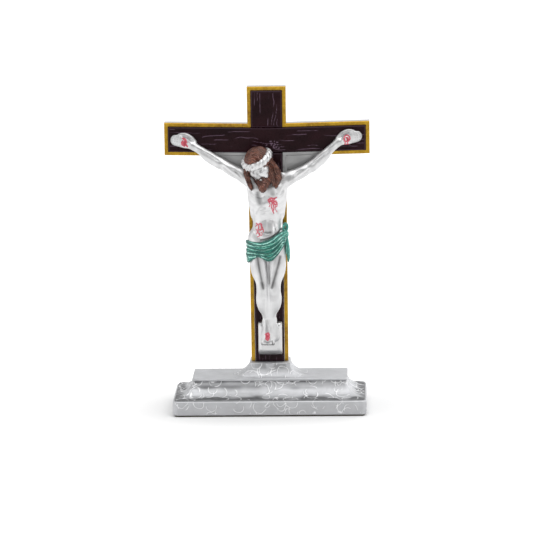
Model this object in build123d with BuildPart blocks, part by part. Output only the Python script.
from build123d import *
import os

# A standing altar cross: a cast corpus nailed to a framed plank cross on a moulded base.
#
# Millimetres. +Z is up, the front faces -Y, +X is the viewer's right, and the origin is the centre of
# the felt underside. Left and right are the viewer's, looking at the front.

# Base
felt_thickness = 0.8
felt_inset = 1.0  # how far the felt stays inside the plinth's edge
base_width = 97.2
base_depth = 43.0
base_corner = 2.5
plinth_top = 8.0
plinth_arris = 0.9
plinth_ledge = 1.0  # the flat rim of the plinth's top, before the cove starts
set_back = 9.5  # from the plinth's face to the slab's face, on all four sides
lip_bottom = 16.2
slab_top = 17.5
cove_overhang = 0.6
quirk = 0.5
roof = 3.2  # casting thickness over the hollow of the slab
wall = 4.0
plinth_hollow = 5.2  # height of the wide part of the hollow
hollow_corner = 1.5

# Pedestal
pedestal_top = 24.6
pedestal_foot = (38.0, 23.0)
pedestal_head = (20.4, 14.7)
pedestal_flare = 6.2
pedestal_skirt = 0.3
pedestal_arris = 0.35

# Cross
overall_height = 164.2
upright_half_top = 9.7
upright_half_foot = 9.3
beam_half_length = 51.2
beam_bottom = 129.2
beam_height = 16.3
beam_rise = 1.0  # each arm of the beam rises this much from the middle to its end
border = 1.8
frame_front = -2.0
frame_back = 3.0
border_front = -3.2
plank_front = -4.6
web_front = -2.8
plank_bevel = 0.8
back_recess = 1.0
back_rim = 2.2
back_arris = 0.4
border_arris = 0.35
tenon_half = 5.5
tenon_foot = 18.0
tenon_play = 0.05
gilt_end_left = -33.0  # the gilding stops here on the beam's underside, where the web begins
gilt_end_right = 32.4
web_foot = 117.5
web_rise = 0.8  # the tip of each web stands this far above the beam's lower edge
clear = 200.0  # longer than the whole cross, for cuts that go right through

# Fasteners
screw_y = (frame_front + frame_back) / 2
tie_shank = 1.5
tie_tip = 27.0
tie_play = 0.1
tie_edge = 0.7
tie_slot = (3.0, 0.6, 1.0)  # length, width, depth of each arm of the cross recess
tie_head = (2.75, 2.0)  # radius, height
tie_washer_size = (3.6, 0.6)
plate_thickness = 0.8
plate_size = (90.2, 36.0)
plate_ledge = 0.5  # the plate bears on the casting this far in from its edge
plate_screw_grid = (81.2, 27.0)
plate_screw_shank = 1.1
plate_screw_head = 2.0
plate_screw_length = 4.5
post_size = (2.6, 5.0)  # radius, height
post_pilot = 4.0
nail_shank = 0.5
nail_head = (1.1, 0.6)
clench = (1.1, 0.5)
back_screw_shank = 0.9
back_screw_head = (1.6, 0.8)
back_screw_reach = 6.0
boss = (2.2, 3.0)  # radius, height

# Corpus
palm_left = (-40.3, 136.7)  # x, z of the nail
palm_right = (39.8, 138.2)
instep = (-0.9, 38.3)
palm_face = -7.6
instep_face = -13.2
back_screw_levels = (112.0, 93.0)
body_split = 86.0
foot_block_size = (12.0, 17.3)
foot_block_middle = 0.4  # its own centre line, beside the cross's
foot_block_foot = 28.2
foot_block_depth = 4.4
foot_block_bevel = 1.4
knot_centre = (9.3, -12.0, 92.6)

os.makedirs("parts", exist_ok=True)


def at_depth(y):
    """The plane facing the viewer at that Y, with local axes X and Z."""
    return Plane.XZ.offset(-y)


def finish(sub_part, label):
    """Labels the sub-part and writes its STEP file."""
    sub_part.part.label = label
    export_step(sub_part.part, f"parts/{label}.step")


def cut_away(*others):
    """Removes other finished sub-parts from the part being built."""
    for other in others:
        add(other.part, mode=Mode.SUBTRACT)


# ---------------------------------------------------------------- outlines of the cross


def upright_half(z):
    """Half the upright's width at height z: it narrows slightly towards its foot."""
    share = (z - pedestal_top) / (overall_height - pedestal_top)
    return upright_half_foot + share * (upright_half_top - upright_half_foot)


def beam_lift(x):
    """How far the beam has risen at x."""
    return beam_rise * abs(x) / beam_half_length


def cross_outline(inset=0.0):
    """Corners of the whole cross, drawn in by inset on every edge but the foot."""
    low, high = beam_bottom + inset, beam_bottom + beam_height - inset
    end, top = beam_half_length - inset, overall_height - inset
    foot, neck = upright_half_foot - inset, upright_half(high) - inset
    arm, crown = upright_half(low) - inset, upright_half_top - inset
    right = [
        (foot, pedestal_top),
        (arm, low + beam_lift(arm)),
        (end, low + beam_lift(end)),
        (end, high + beam_lift(end)),
        (neck, high + beam_lift(neck)),
        (crown, top),
    ]
    return right + [(-x, z) for x, z in reversed(right)]


# ---------------------------------------------------------------- base

with BuildPart() as felt_pad:
    with BuildSketch():
        RectangleRounded(
            base_width - 2 * felt_inset,
            base_depth - 2 * felt_inset,
            base_corner - felt_inset,
        )
    extrude(amount=felt_thickness)
finish(felt_pad, "felt_pad")

with BuildPart() as base_plate:
    with BuildSketch(Plane.XY.offset(felt_thickness)):
        RectangleRounded(*plate_size, hollow_corner)
    extrude(amount=plate_thickness)
    with Locations((0, 0, felt_thickness)):
        with GridLocations(*plate_screw_grid, 2, 2):
            Cone(
                plate_screw_head,
                plate_screw_shank,
                plate_thickness,
                align=(Align.CENTER, Align.CENTER, Align.MIN),
                mode=Mode.SUBTRACT,
            )
finish(base_plate, "base_plate")

with BuildPart() as plate_screws:
    with Locations((0, 0, felt_thickness)):
        with GridLocations(*plate_screw_grid, 2, 2):
            Cone(
                plate_screw_head,
                plate_screw_shank,
                plate_thickness,
                align=(Align.CENTER, Align.CENTER, Align.MIN),
            )
            Cylinder(
                plate_screw_shank,
                plate_screw_length,
                align=(Align.CENTER, Align.CENTER, Align.MIN),
            )
finish(plate_screws, "plate_screws")


def cove_profile(half):
    """The moulding above the plinth for one direction: a quirk, a hollow cove and the slab's lip."""
    face = half - set_back
    neck = face - cove_overhang
    start = half - plinth_ledge
    with BuildSketch(mode=Mode.PRIVATE) as profile:
        with BuildLine():
            foot = Line((0, plinth_top - plinth_arris), (start, plinth_top - plinth_arris))
            Line(foot @ 1, (start, plinth_top + quirk))
            cove = EllipticalCenterArc(
                (start, lip_bottom),
                start - neck,
                lip_bottom - plinth_top - quirk,
                start_angle=180,
                arc_size=90,
            )
            lip = Polyline(cove @ 0, (face, lip_bottom), (face, slab_top), (0, slab_top))
            Line(lip @ 1, foot @ 0)
        make_face()
        mirror(about=Plane.YZ)
    return profile.sketch


with BuildPart() as cove_block:
    with BuildSketch(Plane.XZ):
        add(cove_profile(base_width / 2))
    extrude(amount=base_depth, both=True)
    with BuildSketch(Plane.YZ):
        add(cove_profile(base_depth / 2))
    extrude(amount=base_width, both=True, mode=Mode.INTERSECT)

with BuildPart() as base_shell:
    with BuildSketch(Plane.XY.offset(felt_thickness)):
        RectangleRounded(base_width, base_depth, base_corner)
    extrude(amount=plinth_top - felt_thickness)
    fillet(faces().sort_by(Axis.Z)[-1].edges(), plinth_arris)
    add(cove_block.part)
    # The hollow: wide under the plinth, narrower inside the slab.
    with BuildSketch(Plane.XY.offset(felt_thickness)):
        RectangleRounded(*plate_size, hollow_corner)
    extrude(amount=plate_thickness, mode=Mode.SUBTRACT)
    with BuildSketch(Plane.XY.offset(felt_thickness)):
        RectangleRounded(
            plate_size[0] - 2 * plate_ledge,
            plate_size[1] - 2 * plate_ledge,
            hollow_corner,
        )
    extrude(amount=plinth_hollow, mode=Mode.SUBTRACT)
    with BuildSketch(Plane.XY.offset(felt_thickness)):
        Rectangle(
            base_width - 2 * (set_back + wall),
            base_depth - 2 * (set_back + wall),
        )
    extrude(amount=slab_top - roof - felt_thickness, mode=Mode.SUBTRACT)
    # Screw posts, each with its pilot hole.
    post_foot = felt_thickness + plate_thickness
    with Locations((0, 0, post_foot)):
        with GridLocations(*plate_screw_grid, 2, 2):
            Cylinder(*post_size, align=(Align.CENTER, Align.CENTER, Align.MIN))
    with Locations((0, 0, post_foot)):
        with GridLocations(*plate_screw_grid, 2, 2):
            Cylinder(
                plate_screw_shank,
                post_pilot,
                align=(Align.CENTER, Align.CENTER, Align.MIN),
                mode=Mode.SUBTRACT,
            )
    with Locations((0, screw_y, slab_top)):
        Hole(tie_shank + tie_play, 2 * roof)
finish(base_shell, "base_shell")


def flare_profile(foot_half, head_half):
    """One direction of the pedestal: a skirt, a hollow flare and an upright collar."""
    with BuildSketch(mode=Mode.PRIVATE) as profile:
        with BuildLine():
            foot = Line((0, slab_top), (foot_half, slab_top))
            Line(foot @ 1, (foot_half, slab_top + pedestal_skirt))
            flare = EllipticalCenterArc(
                (foot_half, slab_top + pedestal_skirt + pedestal_flare),
                foot_half - head_half,
                pedestal_flare,
                start_angle=180,
                arc_size=90,
            )
            collar = Polyline(flare @ 0, (head_half, pedestal_top), (0, pedestal_top))
            Line(collar @ 1, foot @ 0)
        make_face()
        mirror(about=Plane.YZ)
    return profile.sketch


with BuildPart() as pedestal:
    with BuildSketch(Plane.XZ):
        add(flare_profile(pedestal_foot[0] / 2, pedestal_head[0] / 2))
    extrude(amount=base_depth, both=True)
    with BuildSketch(Plane.YZ):
        add(flare_profile(pedestal_foot[1] / 2, pedestal_head[1] / 2))
    extrude(amount=base_width, both=True, mode=Mode.INTERSECT)
    fillet(faces().sort_by(Axis.Z)[-1].edges(), pedestal_arris)
    with BuildSketch(Plane.XY.offset(pedestal_top)):
        with Locations((0, screw_y)):
            Rectangle(
                2 * (tenon_half + tenon_play),
                frame_back - frame_front + 2 * tenon_play,
            )
    extrude(amount=-(pedestal_top - tenon_foot + tenon_play), mode=Mode.SUBTRACT)
    with Locations((0, screw_y, tenon_foot)):
        Hole(tie_shank + tie_play, pedestal_top - tenon_foot)
finish(pedestal, "pedestal")

roof_underside = slab_top - roof

with BuildPart() as tie_washer:
    with BuildSketch(Plane.XY.offset(roof_underside - tie_washer_size[1])):
        with Locations((0, screw_y)):
            Circle(tie_washer_size[0])
            Circle(tie_shank + tie_play, mode=Mode.SUBTRACT)
    extrude(amount=tie_washer_size[1])
finish(tie_washer, "tie_washer")

with BuildPart() as tie_screw:
    head_top = roof_underside - tie_washer_size[1]
    with BuildSketch(Plane.XY.offset(head_top)):
        with Locations((0, screw_y)):
            Circle(tie_head[0])
    extrude(amount=-tie_head[1])
    fillet(faces().sort_by(Axis.Z)[0].edges(), tie_edge)
    with BuildSketch(Plane.XY.offset(head_top)):
        with Locations((0, screw_y)):
            Circle(tie_shank)
    extrude(amount=tie_tip - head_top)
    with BuildSketch(Plane.XY.offset(head_top - tie_head[1])):
        with Locations((0, screw_y)):
            Rectangle(tie_slot[0], tie_slot[1])
            Rectangle(tie_slot[1], tie_slot[0])
    extrude(amount=tie_slot[2], mode=Mode.SUBTRACT)
finish(tie_screw, "tie_screw")

# ---------------------------------------------------------------- cross


def pin_holes(places, radius):
    """Cuts round holes right through the part being built, front to back, at (x, z) places."""
    with BuildSketch(Plane.XZ, mode=Mode.PRIVATE) as holes:
        with Locations(*places):
            Circle(radius)
    extrude(holes.sketch, amount=clear, both=True, mode=Mode.SUBTRACT)


nail_places = (palm_left, palm_right, instep)
back_screw_places = tuple((0.0, level) for level in back_screw_levels)

with BuildPart() as cross_frame:
    with BuildSketch(at_depth(frame_back)):
        with BuildLine():
            Polyline(*cross_outline(), close=True)
        make_face()
    extrude(amount=frame_back - frame_front)
    chamfer(faces().sort_by(Axis.Y)[-1].edges(), back_arris)
    with BuildSketch(at_depth(frame_back)):
        with BuildLine():
            Polyline(*cross_outline(back_rim), close=True)
        make_face()
        with Locations((0, pedestal_top)):
            Rectangle(2 * upright_half_foot, 2 * back_rim, mode=Mode.SUBTRACT)
    extrude(amount=back_recess, mode=Mode.SUBTRACT)
    with BuildSketch(Plane.XY.offset(pedestal_top)):
        with Locations((0, screw_y)):
            Rectangle(2 * tenon_half, frame_back - frame_front)
    extrude(amount=-(pedestal_top - tenon_foot))
    with Locations((0, screw_y, tenon_foot)):
        Cylinder(
            tie_shank,
            tie_tip - tenon_foot,
            align=(Align.CENTER, Align.CENTER, Align.MIN),
            mode=Mode.SUBTRACT,
        )
    pin_holes(nail_places, nail_shank)
    pin_holes(back_screw_places, back_screw_shank)
finish(cross_frame, "cross_frame")


plank_low = beam_bottom + border
plank_high = beam_bottom + beam_height - border
plank_end = beam_half_length - border


def plank(corners, holes):
    """A plank standing on the frame, its front edges bevelled, with holes for what passes through."""
    with BuildPart() as made:
        with BuildSketch(at_depth(frame_front)):
            with BuildLine():
                Polyline(*corners, close=True)
            make_face()
        extrude(amount=frame_front - plank_front)
        chamfer(faces().sort_by(Axis.Y)[0].edges(), plank_bevel)
        if holes:
            pin_holes(holes, nail_shank)
    return made


beam_corners = [
    (-plank_end, plank_low + beam_lift(plank_end)),
    (0, plank_low),
    (plank_end, plank_low + beam_lift(plank_end)),
    (plank_end, plank_high + beam_lift(plank_end)),
    (0, plank_high),
    (-plank_end, plank_high + beam_lift(plank_end)),
]
beam_plank = plank(beam_corners, (palm_left, palm_right))
finish(beam_plank, "beam_plank")

neck_half = upright_half(plank_high) - border
crown_half = upright_half_top - border
upper_corners = [
    (-neck_half, plank_high + beam_lift(neck_half)),
    (0, plank_high),
    (neck_half, plank_high + beam_lift(neck_half)),
    (crown_half, overall_height - border),
    (-crown_half, overall_height - border),
]
upper_plank = plank(upper_corners, ())
finish(upper_plank, "upper_plank")

arm_half = upright_half(plank_low) - border
foot_half = upright_half_foot - border
lower_corners = [
    (-foot_half, pedestal_top),
    (foot_half, pedestal_top),
    (arm_half, plank_low + beam_lift(arm_half)),
    (0, plank_low),
    (-arm_half, plank_low + beam_lift(arm_half)),
]
with BuildPart() as lower_plank:
    add(plank(lower_corners, (instep,)).part)
    pin_holes(back_screw_places, back_screw_shank)
finish(lower_plank, "lower_plank")

with BuildPart() as border_ring:
    with BuildSketch(at_depth(frame_front)):
        with BuildLine():
            Polyline(*cross_outline(), close=True)
        make_face()
    extrude(amount=frame_front - border_front)
    chamfer(faces().sort_by(Axis.Y)[0].edges(), border_arris)
    with BuildSketch(at_depth(frame_front)):
        for corners in (beam_corners, upper_corners, lower_corners):
            with BuildLine():
                Polyline(*corners, close=True)
            make_face()
    extrude(amount=clear, mode=Mode.SUBTRACT)


def border_piece(low_left, high_right):
    """The part of the border that lies inside a rectangle of the front view."""
    with BuildPart() as made:
        add(border_ring.part)
        centre = ((low_left[0] + high_right[0]) / 2, (low_left[1] + high_right[1]) / 2)
        with BuildSketch(at_depth(frame_front)):
            with Locations(centre):
                Rectangle(high_right[0] - low_left[0], high_right[1] - low_left[1])
        extrude(amount=clear, mode=Mode.INTERSECT)
    return made


mid_beam = beam_bottom + beam_height / 2
far = 2 * beam_half_length
with BuildPart() as gilt_border_beam:
    add(border_ring.part)
    with BuildSketch(at_depth(frame_front)):
        # The underside between the two ends of the gilding, and the upright below, are other pieces.
        with Locations(((gilt_end_left + gilt_end_right) / 2, mid_beam / 2)):
            Rectangle(gilt_end_right - gilt_end_left, mid_beam)
    extrude(amount=clear, mode=Mode.SUBTRACT)
finish(gilt_border_beam, "gilt_border_beam")

gilt_border_left = border_piece((-far, 0), (0, web_foot))
finish(gilt_border_left, "gilt_border_left")
gilt_border_right = border_piece((0, 0), (far, web_foot))
finish(gilt_border_right, "gilt_border_right")

# Left and right webs: thin plates that fill the corners between the beam, the upright and the arms,
# with the border's own strip along their inner edges left unpainted.
web_edges = {
    "left": [
        (gilt_end_left, beam_bottom + web_rise),
        (-24.0, 126.2),
        (-13.0, 120.0),
        (-upright_half(web_foot), web_foot),
    ],
    "right": [
        (gilt_end_right, beam_bottom + web_rise),
        (24.0, 125.4),
        (13.0, 119.6),
        (upright_half(web_foot), web_foot),
    ],
}


def web(side):
    """The plate on one side, with its strip of the border."""
    sign = -1 if side == "left" else 1
    strip = border_piece(
        (min(0, sign * far), web_foot), (max(0, sign * far), mid_beam)
    )
    with BuildPart() as made:
        corners = [(0, web_foot), (0, mid_beam), (web_edges[side][0][0], mid_beam)]
        corners += web_edges[side]
        with BuildSketch(at_depth(frame_front)):
            with BuildLine():
                Polyline(*corners, close=True)
            make_face()
        extrude(amount=frame_front - web_front)
        with BuildSketch(at_depth(frame_front)):
            for plank_corners in (beam_corners, lower_corners):
                with BuildLine():
                    Polyline(*plank_corners, close=True)
                make_face()
        extrude(amount=clear, mode=Mode.SUBTRACT)
        add(strip.part)
        cut_away(gilt_border_beam, beam_plank, lower_plank)
    return made


web_left = web("left")
finish(web_left, "web_left")
web_right = web("right")
finish(web_right, "web_right")

# ---------------------------------------------------------------- corpus


def limb(stations):
    """A lofted limb: each station is a centre and the half-width and half-depth of its ellipse."""
    centres = [Vector(*centre) for centre, _ in stations]
    with BuildPart() as made:
        for i, (_, halves) in enumerate(stations):
            ahead = centres[min(i + 1, len(centres) - 1)] - centres[max(i - 1, 0)]
            across = ahead.cross(Vector(0, 1, 0))
            with BuildSketch(Plane(origin=centres[i], x_dir=across, z_dir=ahead)):
                Ellipse(*halves)
        loft()
    return made


def egg(centre, axis, half_length, half_width):
    """A solid of revolution like an egg, long along axis."""
    across = Vector(*axis).cross(Vector(1, 0, 0))
    with BuildPart() as made:
        with BuildSketch(Plane(origin=centre, x_dir=across, z_dir=across.cross(Vector(*axis)))):
            Ellipse(half_width, half_length)
            with Locations((-half_width, 0)):
                Rectangle(2 * half_width, 2 * half_length, mode=Mode.SUBTRACT)
        revolve(axis=Axis(centre, axis))
    return made


with BuildPart() as corpus_torso:
    add(
        limb(
            [
                ((-0.2, -9.8, body_split), (9.2, 4.9)),
                ((-0.1, -9.7, 92.0), (9.0, 4.6)),
                ((0.1, -9.6, 98.0), (7.8, 4.2)),
                ((0.1, -10.0, 108.0), (9.4, 5.0)),
                ((0.1, -9.8, 115.0), (9.7, 4.9)),
                ((0.0, -9.6, 121.0), (8.0, 4.0)),
                ((-0.3, -10.2, 124.5), (3.6, 3.0)),
            ]
        ).part
    )
    # Bosses that bridge from the back of the figure to the plank, and their blind screw holes.
    with BuildSketch(at_depth(plank_front)):
        with Locations(*back_screw_places):
            Circle(boss[0])
    extrude(amount=boss[1])
    with BuildSketch(at_depth(plank_front)):
        with Locations(*back_screw_places):
            Circle(back_screw_shank)
    extrude(amount=back_screw_reach, mode=Mode.SUBTRACT)
finish(corpus_torso, "corpus_torso")

leg_left = limb(
    [
        ((-4.6, -9.6, body_split + 3.0), (4.9, 4.8)),
        ((-4.5, -11.2, 77.0), (4.5, 4.6)),
        ((-3.2, -13.6, 65.0), (3.3, 3.8)),
        ((-2.9, -13.2, 60.0), (3.2, 3.6)),
        ((-3.0, -11.6, 54.0), (3.1, 3.4)),
        ((-1.8, -9.8, 45.5), (2.0, 2.3)),
        ((-1.2, -10.6, 40.5), (2.4, 1.8)),
        ((-0.6, -11.6, 34.4), (2.6, 1.2)),
    ]
)
leg_right = limb(
    [
        ((4.4, -9.6, body_split + 3.0), (4.9, 4.8)),
        ((4.6, -11.0, 77.0), (4.7, 4.5)),
        ((3.3, -13.4, 65.0), (3.3, 3.8)),
        ((3.2, -13.0, 60.0), (3.2, 3.6)),
        ((3.2, -11.2, 54.0), (3.1, 3.4)),
        ((1.9, -9.2, 45.5), (2.0, 2.2)),
        ((1.6, -9.6, 40.5), (2.3, 1.6)),
        ((1.4, -10.4, 35.4), (2.5, 1.1)),
    ]
)

with BuildPart() as foot_block:
    block_mid = foot_block_foot + foot_block_size[1] / 2
    with BuildSketch(at_depth(plank_front)):
        with Locations((foot_block_middle, block_mid)):
            Rectangle(*foot_block_size)
    extrude(amount=foot_block_depth)
    chamfer(faces().sort_by(Axis.Y)[0].edges(), foot_block_bevel)
    pin_holes((instep,), nail_shank)
finish(foot_block, "foot_block")

with BuildPart() as corpus_legs:
    add(leg_left.part)
    add(leg_right.part)
    with BuildSketch(Plane.XY.offset(body_split)):
        Rectangle(clear, clear)
    extrude(amount=clear, mode=Mode.SUBTRACT)
    cut_away(foot_block, corpus_torso)
    pin_holes((instep,), nail_shank)
finish(corpus_legs, "corpus_legs")

with BuildPart() as arm_left:
    add(
        limb(
            [
                ((-6.5, -9.8, 118.0), (3.4, 3.0)),
                ((-12.5, -9.6, 120.6), (3.3, 3.1)),
                ((-22.4, -8.4, 126.6), (2.6, 2.5)),
                ((-30.0, -7.4, 131.8), (2.6, 2.3)),
                ((-35.6, -6.6, 135.0), (2.0, 1.7)),
                ((-40.3, -6.3, 136.9), (3.2, 1.5)),
                ((-44.6, -6.2, 137.6), (2.9, 1.2)),
                ((-47.6, -6.0, 137.9), (1.5, 0.8)),
            ]
        ).part
    )
    cut_away(corpus_torso)
    pin_holes((palm_left,), nail_shank)
finish(arm_left, "arm_left")

with BuildPart() as arm_right:
    add(
        limb(
            [
                ((6.5, -9.8, 118.4), (3.4, 3.0)),
                ((12.8, -9.6, 119.9), (3.3, 3.1)),
                ((21.0, -8.4, 124.2), (2.7, 2.5)),
                ((28.6, -7.4, 130.6), (2.7, 2.3)),
                ((34.4, -6.6, 135.8), (2.0, 1.7)),
                ((39.6, -6.3, 138.0), (3.3, 1.5)),
                ((44.2, -6.2, 138.6), (2.8, 1.2)),
                ((47.2, -6.0, 138.8), (1.5, 0.8)),
            ]
        ).part
    )
    cut_away(corpus_torso)
    pin_holes((palm_right,), nail_shank)
finish(arm_right, "arm_right")

with BuildPart() as loincloth:
    add(
        limb(
            [
                ((-0.3, -10.6, 76.5), (10.6, 7.0)),
                ((-0.2, -10.3, 83.0), (10.9, 6.6)),
                ((-0.1, -10.0, 91.0), (10.2, 5.7)),
            ]
        ).part
    )
    cut_away(corpus_torso, corpus_legs)
    # The plank behind is clear of the cloth.
    with BuildSketch(at_depth(plank_front)):
        with Locations((0, body_split)):
            Rectangle(clear, clear)
    extrude(amount=-clear, mode=Mode.SUBTRACT)
finish(loincloth, "loincloth")

with BuildPart() as loincloth_knot:
    add(egg(knot_centre, (0.0, 0.0, 1.0), 3.8, 2.0).part)
    add(
        limb(
            [
                ((10.0, -12.0, 90.5), (1.2, 1.0)),
                ((10.7, -11.8, 84.0), (1.7, 1.1)),
                ((10.4, -11.5, 77.2), (0.9, 0.7)),
            ]
        ).part
    )
    cut_away(corpus_torso, corpus_legs, loincloth, arm_right)
finish(loincloth_knot, "loincloth_knot")

# ---------------------------------------------------------------- head

head_centre = (-3.4, -15.4, 127.6)
head_axis = (-0.24, -0.38, 0.89)  # from chin to crown: the head is bowed
face_plane = Plane(origin=(-4.2, -16.6, 126.0), z_dir=(-0.30, -0.84, -0.42))
face_radius = 5.6
hair_gap = 0.1
crown_centre = (-3.7, -15.2, 129.6)
crown_plane = Plane(origin=crown_centre, x_dir=(1, 0, 0), z_dir=(-0.34, -0.22, 0.92))
crown_radius = 5.8
crown_thickness = 1.8

with BuildPart() as corpus_head:
    add(egg(head_centre, head_axis, 6.9, 5.0).part)
    add(
        limb(
            [
                ((-0.8, -10.8, 121.0), (2.6, 2.4)),
                ((-2.0, -12.6, 124.6), (2.5, 2.4)),
                ((-3.0, -14.2, 128.0), (2.2, 2.2)),
            ]
        ).part
    )
    cut_away(corpus_torso, arm_left, arm_right)
finish(corpus_head, "corpus_head")

with BuildPart() as crown_of_thorns:
    with BuildSketch(Plane(origin=crown_centre, x_dir=(1, 0, 0), z_dir=crown_plane.y_dir)):
        with Locations((crown_radius, 0)):
            Circle(crown_thickness / 2)
    revolve(axis=Axis(crown_centre, crown_plane.z_dir))
    cut_away(corpus_head)
finish(crown_of_thorns, "crown_of_thorns")

with BuildPart() as hair:
    add(egg((-3.5, -14.0, 128.4), head_axis, 7.2, 6.3).part)
    for lock in (
        [
            ((2.6, -12.6, 129.0), (1.8, 2.6)),
            ((4.8, -12.0, 124.0), (2.3, 2.8)),
            ((5.4, -13.6, 119.5), (1.5, 2.2)),
            ((5.0, -14.9, 116.0), (0.7, 1.0)),
        ],
        [
            ((-8.6, -13.0, 127.0), (1.3, 2.2)),
            ((-8.4, -13.0, 122.5), (1.5, 2.0)),
            ((-7.8, -14.2, 118.5), (1.2, 1.4)),
            ((-6.8, -15.2, 115.4), (0.6, 0.8)),
        ],
    ):
        add(limb(lock).part)
    # The face is left open, and the plank behind is clear of the hair.
    with BuildSketch(face_plane):
        Circle(face_radius)
    extrude(amount=clear, mode=Mode.SUBTRACT)
    with BuildSketch(at_depth(plank_front - hair_gap)):
        with Locations((0, mid_beam)):
            Rectangle(clear, clear)
    extrude(amount=-clear, mode=Mode.SUBTRACT)
    cut_away(corpus_head, corpus_torso, arm_left, arm_right, crown_of_thorns)
finish(hair, "hair")

with BuildPart() as beard:
    add(
        limb(
            [
                ((-3.9, -17.4, 122.6), (3.9, 2.6)),
                ((-3.2, -17.8, 119.0), (3.1, 2.3)),
                ((-1.9, -17.6, 114.2), (0.9, 0.9)),
            ]
        ).part
    )
    cut_away(corpus_head, corpus_torso, hair)
finish(beard, "beard")

# ---------------------------------------------------------------- fasteners of the corpus


def nail(place, face):
    """A nail from its head on the figure to its clenched end behind the frame."""
    recess_floor = frame_back - back_recess
    with BuildPart() as made:
        with BuildSketch(at_depth(face)):
            with Locations(place):
                Circle(nail_head[0])
        extrude(amount=nail_head[1])
        with BuildSketch(at_depth(recess_floor)):
            with Locations(place):
                Circle(nail_shank)
        extrude(amount=recess_floor - face)
        with BuildSketch(at_depth(recess_floor)):
            with Locations(place):
                Circle(clench[0])
        extrude(amount=-clench[1])
    return made


for label, place, face, held in (
    ("nail_left", palm_left, palm_face, arm_left),
    ("nail_right", palm_right, palm_face, arm_right),
    ("nail_feet", instep, instep_face, corpus_legs),
):
    with BuildPart() as one_nail:
        add(nail(place, face).part)
        cut_away(held)
    finish(one_nail, label)

with BuildPart() as back_screws:
    recess_floor = frame_back - back_recess
    with BuildSketch(at_depth(recess_floor)):
        with Locations(*back_screw_places):
            Circle(back_screw_shank)
    extrude(amount=recess_floor - plank_front + back_screw_reach)
    with BuildSketch(at_depth(recess_floor)):
        with Locations(*back_screw_places):
            Circle(back_screw_head[0])
    extrude(amount=-back_screw_head[1])
finish(back_screws, "back_screws")
